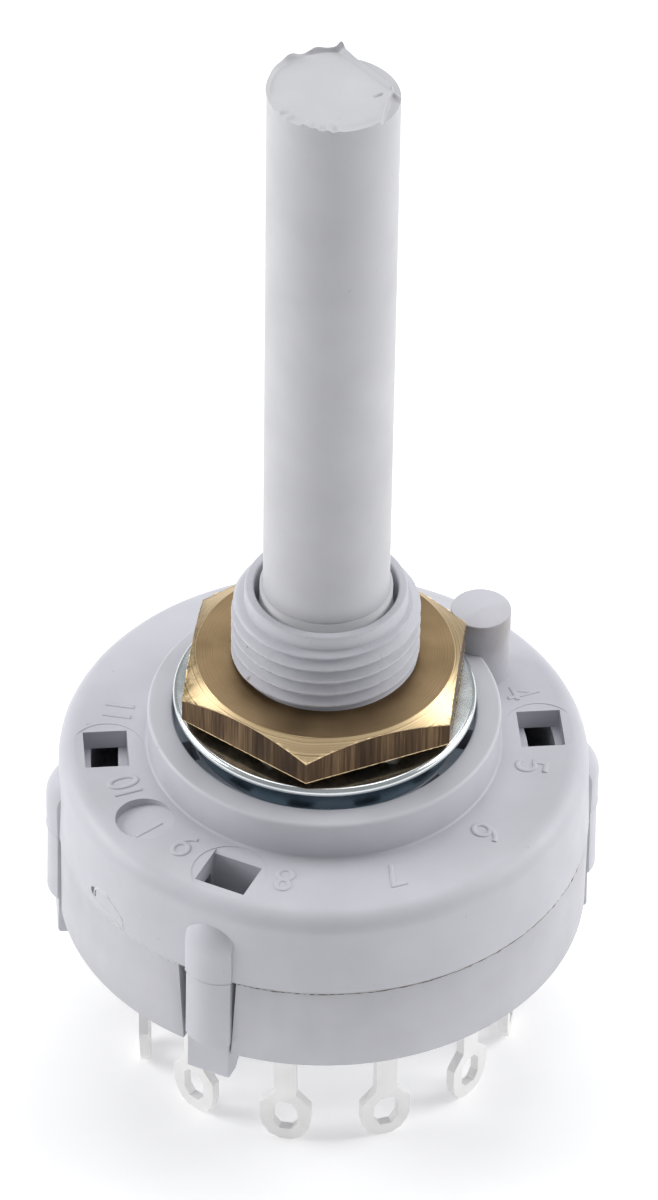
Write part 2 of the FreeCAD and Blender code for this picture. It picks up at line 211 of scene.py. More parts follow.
def ripple(angle, seed, low=3, high=40, power=1.0):
    """Random waves round a circle: sines with whole wave numbers, so the ends meet. Spread is about 1."""
    rng = np.random.default_rng(seed)
    total = np.zeros_like(angle)
    for k in range(low, high):
        total = total + rng.normal() * k ** -power * np.sin(k * angle + rng.uniform(0, TURN))
    return total / max(np.std(total), 1e-9)


def smooth(x, low, high):
    """Zero below low, one above high, and a smooth step between them."""
    t = np.clip((x - low) / (high - low), 0, 1)
    return t * t * (3 - 2 * t)


def facing(a, degrees, low, high):
    """One near this direction and zero away from it: a smooth step of the cosine of the angle between."""
    return smooth(np.cos(a - math.radians(degrees)), low, high)


def around(steps):
    """Even angles once round, in radians."""
    return np.arange(steps) * TURN / steps


def rounded(corners, steps=6):
    """The closed outline through (r, z, radius) corners, each corner an arc tangent to both its sides."""
    outline = []
    count = len(corners)
    for i, (r, z, radius) in enumerate(corners):
        here = np.array([r, z])
        back = np.array(corners[i - 1][:2]) - here
        ahead = np.array(corners[(i + 1) % count][:2]) - here
        if radius == 0:
            outline.append(here)
            continue
        back = back / np.linalg.norm(back)
        ahead = ahead / np.linalg.norm(ahead)
        half = math.acos(np.clip(back @ ahead, -1, 1)) / 2
        middle = (back + ahead) / np.linalg.norm(back + ahead)
        centre = here + middle * radius / math.sin(half)
        first = here + back * radius / math.tan(half) - centre
        last = here + ahead * radius / math.tan(half) - centre
        sweep = math.pi - 2 * half
        for t in np.linspace(0, 1, steps + 1):
            arm = math.sin((1 - t) * sweep) * first + math.sin(t * sweep) * last
            outline.append(centre + arm / math.sin(sweep))
    return np.array(outline)


def grid_faces(rows, cols, wrap_rows, wrap_cols):
    """Quads between the neighbours of a grid of points, joined end to end where it wraps."""
    i = np.arange(rows if wrap_rows else rows - 1)[:, None]
    j = np.arange(cols if wrap_cols else cols - 1)[None, :]
    a = i * cols + j
    b = i * cols + (j + 1) % cols
    c = (i + 1) % rows * cols + (j + 1) % cols
    d = (i + 1) % rows * cols + j
    return np.stack([a, b, c, d], axis=-1).reshape(-1, 4)


def in_scene(name, data):
    """A new object of this data, linked into the scene."""
    obj = bpy.data.objects.new(name, data)
    bpy.context.scene.collection.objects.link(obj)
    return obj


def mesh_of(name, work):
    """A mesh of this bmesh, which is freed."""
    mesh = bpy.data.meshes.new(name)
    work.to_mesh(mesh)
    work.free()
    return mesh


def mesh_object(name, points, faces, merge=True):
    """A mesh of these points, in millimetres, and faces, its doubles merged and its faces turned outwards."""
    mesh = bpy.data.meshes.new(name)
    places = np.asarray(points, float).reshape(-1, 3) * MM
    mesh.from_pydata(places.tolist(), [], [list(map(int, f)) for f in faces])
    work = bmesh.new()
    work.from_mesh(mesh)
    if merge:
        bmesh.ops.remove_doubles(work, verts=work.verts, dist=MERGE)
    bmesh.ops.recalc_face_normals(work, faces=work.faces)
    work.to_mesh(mesh)
    work.free()
    return in_scene(name, mesh)


def turned_grid(outline, angles):
    """Every outline point at every angle: x and y are its radius times the angle's cosine and sine."""
    r = outline[:, 0][:, None]
    z = np.repeat(outline[:, 1][:, None], len(angles), axis=1)
    return np.stack([r * np.cos(angles), r * np.sin(angles), z], axis=-1)


def revolve(name, outline, steps, at=(0.0, 0.0), closed=True, merge=True):
    """An outline of (r, z), closed or from axis to axis, turned once round an upright axis at this place."""
    points = turned_grid(outline, around(steps))
    points[..., :2] += np.array(at)
    return mesh_object(name, points, grid_faces(len(outline), steps, closed, True), merge)


def prism(name, outline, low, high):
    """An outline of (x, z) carried along y from low to high, with flat ends."""
    count = len(outline)
    near = np.column_stack([outline[:, 0], np.full(count, low), outline[:, 1]])
    far = near + np.array([0, high - low, 0])
    faces = grid_faces(2, count, False, True).tolist()
    faces += [list(range(count)), list(range(2 * count - 1, count - 1, -1))]
    return mesh_object(name, np.concatenate([near, far]), faces)


def box_piece(name, inner, outer, width, low, high):
    """A box on +X from radius inner to radius outer, centred on it."""
    outline = np.array([(inner, low), (outer, low), (outer, high), (inner, high)])
    return prism(name, outline, -width / 2, width / 2)


def cylinder_piece(name, radius, low, high, at, steps=72):
    """An upright cylinder at this place."""
    outline = np.array([(0.0, low), (radius, low), (radius, high), (0.0, high)])
    return revolve(name, outline, steps, at, closed=False)


def polar(radius, degrees):
    """The place at this radius and angle."""
    a = math.radians(degrees)
    return (radius * math.cos(a), radius * math.sin(a))


def turn(obj, degrees):
    """Turns a mesh about the spindle's axis."""
    obj.data.transform(Matrix.Rotation(math.radians(degrees), 4, "Z"))
    return obj


def joined(name, objs):
    """One mesh of all these objects, which are removed."""
    work = bmesh.new()
    for obj in objs:
        work.from_mesh(obj.data)
        bpy.data.objects.remove(obj)
    return in_scene(name, mesh_of(name, work))


def welded(node):
    """A bmesh of a node's solid with its doubles merged."""
    work = bmesh.new()
    work.from_mesh(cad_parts[node].data)
    bmesh.ops.remove_doubles(work, verts=work.verts, dist=WELD)
    return work


def axes(first, second, third, at):
    """The matrix with these three axes at this place, in metres."""
    place = Matrix.Identity(4)
    for row in range(3):
        place[row][:] = (first[row], second[row], third[row], at[row])
    return place


def store(obj, **layers):
    """Values on the points of a mesh, which its material reads."""
    for name, values in layers.items():
        layer = obj.data.attributes.new(name, "FLOAT", "POINT")
        layer.data.foreach_set("value", values.astype(np.float32).ravel())


def cut_or_joined(obj, tool, operation):
    """The object after a boolean with the tool, as a plain mesh; the tool is removed."""
    step = obj.modifiers.new("step", "BOOLEAN")
    step.operation = operation
    step.solver = "EXACT"
    step.use_self = operation == "UNION"
    step.object = tool
    settled(obj)
    bpy.data.objects.remove(tool)
    return obj


def settled(obj):
    """Puts the result of an object's modifiers into its mesh."""
    deps = bpy.context.evaluated_depsgraph_get()
    mesh = bpy.data.meshes.new_from_object(obj.evaluated_get(deps))
    obj.modifiers.clear()
    obj.data = mesh
    return obj


def bevelled(obj, width, steps, angle, harden=False):
    """Rounds the edges that are sharper than the angle, and keeps the faces flat in the light if asked."""
    bevel = obj.modifiers.new("edges", "BEVEL")
    bevel.width = width * MM
    bevel.segments = steps
    bevel.limit_method = "ANGLE"
    bevel.angle_limit = math.radians(angle)
    bevel.use_clamp_overlap = True
    bevel.harden_normals = harden
    return obj


def shaded(obj, angle):
    """Smooth shading with edges sharper than the angle kept sharp."""
    obj.data.shade_smooth()
    obj.data.set_sharp_from_angle(angle=math.radians(angle))
    return obj


def dressed(obj, material, body, slot, *nodes):
    """Gives a new piece its material and body, and hides the nodes that it stands for; the slot is not used."""
    obj.data.materials.clear()
    for m in material if isinstance(material, tuple) else (material,):
        obj.data.materials.append(m)
    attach(obj, body)
    if nodes:
        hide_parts(*nodes)
    return obj


class Finish:
    """A material's node tree, with short calls for the nodes that the finishes share."""

    def __init__(self, name, roughness, metallic=0.0, specular=0.5):
        self.material = bpy.data.materials.new(name)
        self.material.use_nodes = True
        self.tree = self.material.node_tree
        self.shader = self.tree.nodes["Principled BSDF"]
        self.shader.inputs["Roughness"].default_value = roughness
        self.shader.inputs["Metallic"].default_value = metallic
        self.shader.inputs["Specular IOR Level"].default_value = specular
        self.place = self.tree.nodes.new("ShaderNodeTexCoord").outputs["Object"]

    def link(self, source, target):
        self.tree.links.new(source, target)

    def noise(self, scale, detail=3.0, stretch=None, rough=0.5):
        """Noise on the piece's own place, stretched along an axis if asked."""
        node = self.tree.nodes.new("ShaderNodeTexNoise")
        node.inputs["Scale"].default_value = scale
        node.inputs["Detail"].default_value = detail
        node.inputs["Roughness"].default_value = rough
        place = self.place
        if stretch:
            mapping = self.tree.nodes.new("ShaderNodeMapping")
            mapping.inputs["Scale"].default_value = stretch
            self.link(place, mapping.inputs["Vector"])
            place = mapping.outputs["Vector"]
        self.link(place, node.inputs["Vector"])
        return node.outputs["Fac"]

    def ramp(self, value, stops):
        """Colours along a value."""
        node = self.tree.nodes.new("ShaderNodeValToRGB")
        while len(node.color_ramp.elements) < len(stops):
            node.color_ramp.elements.new(0.5)
        for element, (at, colour) in zip(node.color_ramp.elements, stops):
            element.position = at
            element.color = (*colour, 1.0)
        self.link(value, node.inputs["Fac"])
        return node.outputs["Color"]

    def range(self, value, low, high, to_low, to_high):
        """A value mapped from one range to another and held inside it."""
        node = self.tree.nodes.new("ShaderNodeMapRange")
        for name, number in zip(("From Min", "From Max", "To Min", "To Max"), (low, high, to_low, to_high)):
            node.inputs[name].default_value = number
        self.link(value, node.inputs["Value"])
        return node.outputs["Result"]

    def math(self, kind, first, second):
        """Arithmetic on two values, either of which may be a number."""
        node = self.tree.nodes.new("ShaderNodeMath")
        node.operation = kind
        for socket, value in zip(node.inputs, (first, second)):
            if isinstance(value, (int, float)):
                socket.default_value = value
            else:
                self.link(value, socket)
        return node.outputs["Value"]

    def mix(self, amount, first, second):
        """One colour over another by an amount; a colour may be a plain tuple."""
        node = self.tree.nodes.new("ShaderNodeMix")
        node.data_type = "RGBA"
        self.link(amount, node.inputs["Factor"])
        for socket, value in zip((node.inputs["A"], node.inputs["B"]), (first, second)):
            if isinstance(value, tuple):
                socket.default_value = (*value, 1.0)
            else:
                self.link(value, socket)
        return node.outputs["Result"]

    def attribute(self, name):
        """A value stored on the piece's points."""
        node = self.tree.nodes.new("ShaderNodeAttribute")
        node.attribute_name = name
        return node.outputs["Fac"]

    def axis(self, name):
        """One coordinate of the piece's own place."""
        split = self.tree.nodes.new("ShaderNodeSeparateXYZ")
        self.link(self.place, split.inputs["Vector"])
        return split.outputs[name]

    def lathe_lines(self, scale, detail, wobble_scale, wobble):
        """Concentric lines: noise along the distance from the axis, which wobbles by this much, in metres."""
        squares = [self.math("POWER", self.axis(name), 2.0) for name in ("X", "Y")]
        radius = self.math("POWER", self.math("ADD", *squares), 0.5)
        shift = self.math("MULTIPLY", self.noise(wobble_scale, 2), wobble)
        rings = self.tree.nodes.new("ShaderNodeTexNoise")
        rings.noise_dimensions = "1D"
        rings.inputs["Scale"].default_value = scale
        rings.inputs["Detail"].default_value = detail
        self.link(self.math("ADD", radius, shift), rings.inputs["W"])
        return rings.outputs["Fac"]

    def bump(self, height, distance):
        """Small relief, its depth in metres."""
        node = self.tree.nodes.new("ShaderNodeBump")
        node.inputs["Distance"].default_value = distance
        node.inputs["Strength"].default_value = 1.0
        self.link(height, node.inputs["Height"])
        self.link(node.outputs["Normal"], self.shader.inputs["Normal"])

    def colour(self, source):
        self.link(source, self.shader.inputs["Base Color"])

    def roughness(self, source):
        self.link(source, self.shader.inputs["Roughness"])


def moulded_plastic(name, tone, grain=0.000004):
    """Light grey moulding: faint clouding, rare dark specks, fine matt grain and uneven sheen."""
    finish = Finish(name, 0.5)
    light = tuple(min(1.0, c * 1.05) for c in tone)
    dark = tuple(c * 0.955 for c in tone)
    cloud = finish.ramp(finish.noise(260, 4), [(0.3, dark), (0.7, light)])
    speck = finish.range(finish.noise(1700, 2, rough=0.4), 0.775, 0.81, 0.0, 0.6)
    finish.colour(finish.mix(speck, cloud, tuple(c * 0.42 for c in tone)))
    finish.roughness(finish.range(finish.noise(600, 3), 0.3, 0.7, 0.42, 0.55))
    finish.bump(finish.noise(9000, 3, rough=0.6), grain)
    return finish.material


def threaded_plastic(name, tone):
    """The bush: the same moulding, with brown dirt held in the thread's grooves and on worn crests."""
    finish = Finish(name, 0.5)
    cloud = finish.ramp(finish.noise(400, 4), [(0.3, tuple(c * 0.95 for c in tone)), (0.7, tone)])
    patches = finish.range(finish.noise(1100, 4, rough=0.65), 0.40, 0.66, 0.0, 1.0)
    held = finish.range(finish.noise(700, 3), 0.3, 0.6, 0.45, 1.0)
    dirt = finish.math("MULTIPLY", finish.attribute("groove"), held)
    dirty = finish.mix(dirt, cloud, (0.23, 0.18, 0.14))
    rubbed = finish.math("MULTIPLY", finish.attribute("crest"), patches)
    scuff = finish.range(finish.noise(5200, 3), 0.60, 0.72, 0.0, 0.55)
    finish.colour(finish.mix(finish.math("MULTIPLY", rubbed, scuff), dirty, (0.30, 0.25, 0.20)))
    finish.roughness(finish.range(finish.noise(900, 3), 0.3, 0.7, 0.45, 0.62))
    finish.bump(finish.noise(5200, 4, rough=0.7), 0.000012)
    return finish.material


def turned_brass():
    """The nut's upper face: uneven concentric lines from the lathe, dull and brownish."""
    finish = Finish("turned_brass", 0.38, metallic=1.0)
    patch = finish.range(finish.noise(330, 3), 0.35, 0.65, 0.35, 1.0)
    lines = finish.math("MULTIPLY", finish.lathe_lines(21000, 5, 120, 0.0003), patch)
    finish.colour(finish.ramp(lines, [(0.15, (0.24, 0.165, 0.088)), (0.60, (0.37, 0.265, 0.15))]))
    finish.roughness(finish.range(lines, 0.2, 0.6, 0.34, 0.50))
    finish.bump(lines, 0.0000032)
    return finish.material


def chamfered_brass():
    """The nut's chamfer: bright satin with fine turned lines, darker in blotches of painted shade at the left
    corner.
    """
    finish = Finish("chamfered_brass", 0.3, metallic=1.0)
    lines = finish.lathe_lines(12000, 3, 200, 0.0004)
    base = finish.ramp(lines, [(0.3, (0.66, 0.47, 0.25)), (0.7, (0.86, 0.68, 0.42))])
    # Painted shade: dark blotches towards the left corner of the chamfer
    left = finish.range(finish.axis("X"), -0.0069, -0.0060, 1.0, 0.0)
    blotch = finish.range(finish.noise(1500, 4, rough=0.7), 0.42, 0.60, 0.0, 0.8)
    corner_painted_shade = finish.math("MULTIPLY", left, blotch)
    finish.colour(finish.mix(corner_painted_shade, base, (0.17, 0.13, 0.055)))
    finish.roughness(finish.range(lines, 0.3, 0.7, 0.26, 0.38))
    finish.bump(lines, 0.0000022)
    return finish.material


def sawn_brass():
    """The nut's flats: dark brown bloom with fine upright streaks."""
    finish = Finish("sawn_brass", 0.42, metallic=0.85)
    streaks = finish.noise(4600, 4, stretch=(1.0, 1.0, 0.03), rough=0.7)
    broad = finish.noise(600, 3, stretch=(1.0, 1.0, 0.10))
    tone = finish.math("ADD", finish.math("MULTIPLY", streaks, 0.5), finish.math("MULTIPLY", broad, 0.5))
    stops = [(0.38, (0.048, 0.028, 0.016)), (0.50, (0.105, 0.065, 0.036)), (0.63, (0.27, 0.175, 0.09))]
    finish.colour(finish.ramp(tone, stops))
    finish.roughness(finish.range(streaks, 0.3, 0.7, 0.52, 0.38))
    finish.bump(streaks, 0.000005)
    return finish.material


def zinc_plate(name, roughness, dark, light, smoothest, roughest):
    """Zinc plate: smooth and bright, with a tint and faint clouds."""
    finish = Finish(name, roughness, metallic=1.0)
    finish.colour(finish.ramp(finish.noise(240, 3), [(0.3, dark), (0.7, light)]))
    finish.roughness(finish.range(finish.noise(900, 3), 0.3, 0.7, smoothest, roughest))
    finish.bump(finish.noise(1400, 2), 0.0000012)
    return finish.material


def silver_plate():
    """The lugs' silver: pale, soft sheen, with rolling lines along the strip and light tarnish."""
    finish = Finish("silver_plate", 0.42, metallic=0.25)
    lines = finish.noise(2200, 3, stretch=(1.0, 1.0, 0.08))
    finish.colour(finish.ramp(finish.noise(420, 4), [(0.25, (0.84, 0.83, 0.82)), (0.75, (0.95, 0.94, 0.93))]))
    finish.roughness(finish.range(lines, 0.3, 0.7, 0.36, 0.50))
    finish.bump(lines, 0.000002)
    return finish.material


def polished_steel():
    """The balls and the spring, which are out of sight."""
    finish = Finish("polished_steel", 0.2, metallic=1.0)
    finish.colour(finish.ramp(finish.noise(800, 3), [(0.3, (0.50, 0.50, 0.51)), (0.7, (0.66, 0.66, 0.67))]))
    finish.roughness(finish.range(finish.noise(2500, 3), 0.3, 0.7, 0.14, 0.26))
    finish.bump(finish.noise(4000, 3), 0.000001)
    return finish.material


GREY = (0.54, 0.54, 0.585)
PLASTIC = moulded_plastic("housing_grey", GREY)
BASE_PLASTIC = moulded_plastic("base_grey", (0.515, 0.515, 0.55))
SHAFT_PLASTIC = moulded_plastic("spindle_grey", (0.53, 0.53, 0.555), grain=0.000002)
BUSH_PLASTIC = threaded_plastic("bush_grey", GREY)
FLASH_PLASTIC = moulded_plastic("flash_grey", (0.68, 0.67, 0.67))
# Dark brown for a thread that paints the shadow in the gap under the parting line
PAINTED_GAP_SHADOW = moulded_plastic("painted_gap_shadow", (0.20, 0.165, 0.14))
BRASS = (turned_brass(), chamfered_brass(), sawn_brass())
ZINC = zinc_plate("bright_zinc", 0.2, (0.66, 0.71, 0.72), (0.80, 0.84, 0.84), 0.17, 0.25)
# The stop ring's zinc: its own bluish tint, darkened with painted shade for the shadow under the lock washer
SHADED_ZINC = zinc_plate("zinc_in_painted_shade", 0.3, (0.30, 0.42, 0.50), (0.42, 0.55, 0.62), 0.26, 0.36)
SILVER = silver_plate()
STEEL = polished_steel()


def body_shell():
    """The housing without its bush: one outline with rounded corners, turned about the axis."""
    outline = rounded([
        (BORE_R, CEILING_Z, 0), (CAM_IN_R, CEILING_Z, 0), (CAM_IN_R, PARTING_Z, 0),
        (CAM_OUT_R, PARTING_Z, 0), (CAM_OUT_R, PLATE_Z, 0), (WALL_IN_R, PLATE_Z, 0),
        (WALL_IN_R, PARTING_Z, 0), (BODY_R, PARTING_Z, 0.05), (BODY_TOP_R, FACE_Z, FACE_ROUND),
        (COLLAR_R, FACE_Z, 0.14), (COLLAR_R, 0, 0.2), (RECESS_R, 0, 0.12),
        (RECESS_R, RECESS_Z, 0.05), (BORE_R, RECESS_Z, 0)])
    return revolve("housing", outline, 360)


def window_cutters():
    """Square windows down to the underside of the face, each over its clip."""
    tools = []
    for a in CLIP_AT:
        window = box_piece("cutter", WINDOW_IN_R, WINDOW_OUT_R, WINDOW_W, PLATE_Z - 0.004, FACE_Z + 0.5)
        tools.append(turn(window, a))
    return tools


def bevel_cutter():
    """The bevel along the inner edge of the front window, a wedge with its ends cut square."""
    inner, outer, high = WINDOW_IN_R - BEVEL_IN, WINDOW_IN_R + BEVEL_OUT, FACE_Z + 0.3
    outline = np.array([(inner, FACE_Z), (outer, FACE_Z - BEVEL_DROP), (outer, high), (inner, high)])
    return turn(prism("cutter", outline, -WINDOW_W / 2, WINDOW_W / 2), CLIP_AT[1])


def deep_window_cutter():
    """The front window's inner wall carried straight down past the cam ring."""
    tool = box_piece("cutter", WINDOW_IN_R, CAM_OUT_R + 0.02, WINDOW_W, PLATE_Z - DEEP_WALL, PLATE_Z + 0.2)
    return turn(tool, CLIP_AT[1])


def witness_cutters():
    """The shallow round marks about the windows."""
    return [cylinder_piece("cutter", WITNESS_R, FACE_Z - WITNESS_DEPTH, FACE_Z + 0.4, polar(WITNESS_AT_R, a))
            for a in CLIP_AT]


def notch_cutter():
    """A three sided upright prism on +X: one V groove of the cam ring."""
    apex = CAM_IN_R + NOTCH_DEPTH
    inner = CAM_IN_R - NOTCH_DEPTH
    half = (apex - inner) * math.tan(math.radians(NOTCH_FLANK))
    foot = PARTING_Z - 0.5
    low = np.array([(apex, 0, foot), (inner, half, foot), (inner, -half, foot)])
    high = low + np.array([0, 0, NOTCH_TOP_Z - PARTING_Z + 0.5])
    faces = grid_faces(2, 3, False, True).tolist() + [[0, 1, 2], [5, 4, 3]]
    return mesh_object("cutter", np.concatenate([low, high]), faces)


def hole_cutters():
    """Twelve stop holes in the recess and twelve detent grooves in the cam ring."""
    inner, outer, width = STOP_HOLE
    tools = []
    for n in range(POSITIONS):
        hole = box_piece("cutter", inner, outer, width, CEILING_Z - 0.3, RECESS_Z + 0.3)
        tools.append(turn(hole, DIAL_ZERO - STEP * n))
        tools.append(turn(notch_cutter(), NOTCH_AT + STEP * n))
    return tools


def mark_cutter():
    """The round recess, deeper to one side: a cylinder tilted about the point where its floor meets the face."""
    tool = cylinder_piece("cutter", MARK_R, 0, 1.5, (0, 0))
    tilt = math.atan2(MARK_DEPTH, 2 * MARK_R)
    hinge = Matrix.Translation((MARK_R * MM, 0, 0))
    tool.data.transform(hinge @ Matrix.Rotation(-tilt, 4, "Y") @ hinge.inverted())
    turn(tool, MARK_FALLS_TO + 180)
    x, y = polar(MARK_PITCH_R, MARK_AT)
    tool.data.transform(Matrix.Translation((x * MM, y * MM, (FACE_Z + 0.012) * MM)))
    return tool


def key_hole_cutter():
    """A small round hole in the wall beside the wide end of the key's outline."""
    radius, at, z = KEY_HOLE
    tool = cylinder_piece("cutter", radius, -0.5, 0.5, (0, 0), 28)
    tool.data.transform(Matrix.Rotation(math.pi / 2, 4, "Y"))
    tool.data.transform(Matrix.Translation((BODY_R * MM, 0, z * MM)))
    return turn(tool, at)


def boss():
    """The rib of a clip on +X: stacked arcs, their radius that of a ball at the top, with a parting ridge."""
    rise = BOSS_R * np.sin(np.linspace(0, 1.45, 14))
    foot = [BOSS_END_Z, BOSS_END_Z + 0.03, BOSS_END_Z + 0.1,
            PARTING_Z - 0.06, PARTING_Z - 0.02, PARTING_Z + 0.02]
    levels = np.concatenate([foot, [BOSS_BALL_Z], BOSS_BALL_Z + rise[1:]])
    shrink = np.concatenate([[0.12, 0.07, 0.05, 0.05, -0.03, 0.0], np.zeros(len(rise))])
    radius = np.concatenate([np.full(len(foot), BOSS_R), np.sqrt(BOSS_R ** 2 - rise ** 2)]) - shrink
    half = np.minimum(BOSS_HALF_W - shrink, radius * math.sin(math.acos(0.1 / BOSS_R)))
    s = np.linspace(-1, 1, 29)[None, :]
    y = half[:, None] * s
    x = BOSS_CENTRE_R + np.sqrt(np.maximum(radius[:, None] ** 2 - y ** 2, 0))
    x = np.maximum(x, CLIP_IN_R + 0.06)
    z = np.repeat(levels[:, None], s.shape[1], axis=1)
    front = np.stack([x, y, z], axis=-1)
    back = front[:, ::-1].copy()
    back[..., 0] = CLIP_IN_R + 0.03
    rows = np.concatenate([front, back], axis=1)
    rows[..., 0] += CLIP_LEAN * np.maximum(PARTING_Z - rows[..., 2], 0)
    count = rows.shape[1]
    faces = grid_faces(len(levels), count, False, True).tolist()
    faces += [list(range(count)), list(range((len(levels) - 1) * count, len(levels) * count))]
    return mesh_object("boss", rows, faces)


def clip_arm():
    """The flat leg of a clip on +X with its inward hook, leaning slightly outwards, softened at the edges."""
    outline = rounded([
        (CLIP_IN_R, PARTING_Z + 0.8, 0), (CLIP_IN_R, PARTING_Z, 0), (CLIP_IN_R, HOOK_Z, 0),
        (HOOK_IN_R, HOOK_Z, 0), (HOOK_IN_R, HOOK_Z - 0.35, 0), (CLIP_TIP_IN_R, CLIP_TIP_Z, 0.1),
        (CLIP_OUT_R, CLIP_TIP_Z, 0.22), (CLIP_OUT_R, PARTING_Z, 0), (CLIP_OUT_R, PARTING_Z + 0.8, 0)], 4)
    outline[:, 0] += CLIP_LEAN * np.maximum(PARTING_Z - outline[:, 1], 0)
    arm = prism("arm", outline, -CLIP_W / 2, CLIP_W / 2)
    return settled(bevelled(arm, 0.07, 3, 60))


def peg():
    """The locating peg: a plain pin with a softened rim, which is worn brown."""
    outline = rounded([
        (0, FACE_Z - 0.3, 0), (PEG_R, FACE_Z - 0.3, 0), (PEG_R, PEG_TOP_Z, 0.07), (0, PEG_TOP_Z, 0)], 6)
    steps = 120
    pin = revolve("locating_peg", outline, steps, polar(PEG_PITCH_R, PEG_AT), closed=False, merge=False)
    rim = np.exp(-((outline[:, 1] - PEG_TOP_Z + 0.06) / 0.05) ** 2)
    worn = rim[:, None] * smooth(-np.sin(around(steps) - 0.6), -0.1, 0.5)[None, :]
    store(pin, groove=worn * 0.5, crest=worn)
    return dressed(shaded(pin, 40), BUSH_PLASTIC, "switch_body", "housing_plastic")


def housing():
    """The moulded housing: turned shell, cuts, then ribs and clips grown onto it."""
    shell = body_shell()
    for tool in (joined("cutter", witness_cutters()), joined("cutter", window_cutters() + hole_cutters()),
                 mark_cutter(), joined("cutter", [bevel_cutter(), deep_window_cutter(), key_hole_cutter()])):
        cut_or_joined(shell, tool, "DIFFERENCE")
    for a, aside in zip(CLIP_AT, CLIP_ASIDE):
        cut_or_joined(shell, turn(clip_arm(), a + aside), "UNION")
        cut_or_joined(shell, turn(boss(), a + aside), "UNION")
    shell.name = "moulded_housing"
    shaded(shell, 28)
    normals = shell.modifiers.new("flats", "WEIGHTED_NORMAL")
    normals.keep_sharp = True
    return dressed(shell, PLASTIC, "switch_body", "housing_plastic", "housing")


def threaded_bush():
    """The bush: an outline from bore to thread, turned once round.

    The thread is a V, whose depth depends on the height less the pitch times the turn.
    """
    steps = 432
    rim = rounded([
        (BORE_R, RECESS_Z, 0), (BORE_R, MOUTH_Z, 0), (MOUTH_R, MOUTH_Z, 0), (MOUTH_R, BUSH_TOP_Z, 0.10),
        (LEAD_R, BUSH_TOP_Z, 0.14), (LEAD_R, LEAD_Z, 0.05), (SHOULDER_R, SHOULDER_Z, 0)], 5)[:-1]
    thread_z = np.arange(LEAD_Z - 0.01, NUT_TOP_Z - 0.25, -0.03)
    threads = np.column_stack([np.full(len(thread_z), CREST_R), thread_z])
    under = np.array([(UNDER_NUT_R, NUT_TOP_Z - 0.28), (UNDER_NUT_R, RECESS_Z)])
    outline = np.concatenate([rim, threads, under])
    band = slice(len(rim), len(rim) + len(threads))
    angles = around(steps)
    points = turned_grid(outline, angles)
    z = points[band, :, 2]
    phase = (z - CREST_Z) / PITCH - (angles[None, :] - math.radians(CREST_AT)) / TURN
    side = (phase + 0.5) % 1 - 0.5
    valley = np.clip((np.abs(side) - CREST_HALF) / FLANK, 0, 1)
    down = LEAD_Z - z
    step = LEAD_Z - SHOULDER_Z
    cone = np.interp(down, [0, step, step + 1], [LEAD_R, SHOULDER_R, SHOULDER_R + 1])
    worn = 0.012 * ripple(angles, 5, 20, 140, 0.3)[None, :] * (1 - valley)
    full = CREST_R - ROOT_DEPTH * valley - np.abs(worn)
    radius = np.minimum(full, cone)
    points[band, :, 0] = radius * np.cos(angles)
    points[band, :, 1] = radius * np.sin(angles)
    bush = mesh_object("threaded_bush", points, grid_faces(len(outline), steps, True, True), merge=False)
    groove = np.zeros(points.shape[:2])
    crest = np.zeros(points.shape[:2])
    cut = full < cone
    edge = np.exp(-((side + CREST_HALF + 0.02) / 0.035) ** 2)
    spots = np.zeros(z.shape)
    for at, height, size in DIRT_SPOTS:
        turned_by = (angles[None, :] - math.radians(at) + math.pi) % TURN - math.pi
        spots = spots + np.exp(-((CREST_R * turned_by) ** 2 + (z - height) ** 2) / size ** 2)
    groove[band] = np.clip(np.where(cut, edge, 0) + 1.5 * spots, 0, 1)
    crest[band] = np.where(cut, (1 - valley) ** 3, 0.4)
    crest[4:len(rim)] = 0.5
    store(bush, groove=groove, crest=crest)
    return dressed(shaded(bush, 50), BUSH_PLASTIC, "switch_body", "housing_plastic", "housing")


def shaft_end_height(r, a):
    """Height above the shaft's end at a radius and an angle, a sum of smooth steps and bell curves.

    Torn flash stands round the back and the front and a ridge along a chord, with the end lower beyond it.
    """
    x = r * np.cos(a)
    y = r * np.sin(a)
    across = r * np.cos(a - math.radians(CHORD_AT))
    along = r * np.sin(a - math.radians(CHORD_AT))
    torn = 0.20 + 0.05 * ripple(a, 11, 5, 24, 0.6)
    height = facing(a, BACK_AT, 0.15, 0.75) * torn * smooth(r, 2.98, 3.15)
    torn = np.clip(ripple(a, 12, 8, 40, 0.5) + 0.2, -0.8, 1.5)
    height = height + facing(a, FRONT_AT, 0.62, 0.9) * 0.07 * torn * smooth(r, 2.55, 3.0)
    height = height - facing(a, LIP_AT, 0.86, 0.97) * 0.10 * smooth(r, 2.6, 3.1)
    rise = 0.15 + 0.17 * smooth(along, 0.4, 2.3)
    ridge = rise * np.exp(-((across - CHORD) / 0.13) ** 2)
    beyond = smooth(across, CHORD + 0.04, CHORD + 0.16)
    height = height * (1 - beyond) + ridge - 0.34 * beyond
    corner = smooth(r * np.cos(a - math.radians(CORNER_AT)), 2.58, 2.74)
    height = height - 0.30 * corner * (1 - beyond)
    dx, dy = x - CHIP[0], y - CHIP[1]
    height = height + 0.05 * np.exp(-((dx / 0.42) ** 2 + (dy / 0.55) ** 2) ** 2)
    dx, dy = x - SLIT[0], y - SLIT[1]
    slit = np.exp(-((dx * 0.59 - dy * 0.81) / 0.055) ** 2) * np.exp(-((dx * 0.81 + dy * 0.59) / 0.30) ** 4)
    return height - 0.16 * slit


def shaft_flare(a):
    """How far the rim of the shaft's end leans out: the torn edge at the back and the front left."""
    torn = facing(a, 120, 0.1, 0.7) + 0.8 * facing(a, -125, 0.6, 0.9)
    return 0.012 + 0.035 * torn * np.clip(0.6 + 0.5 * ripple(a, 21, 6, 40, 0.6), 0, 1.6)


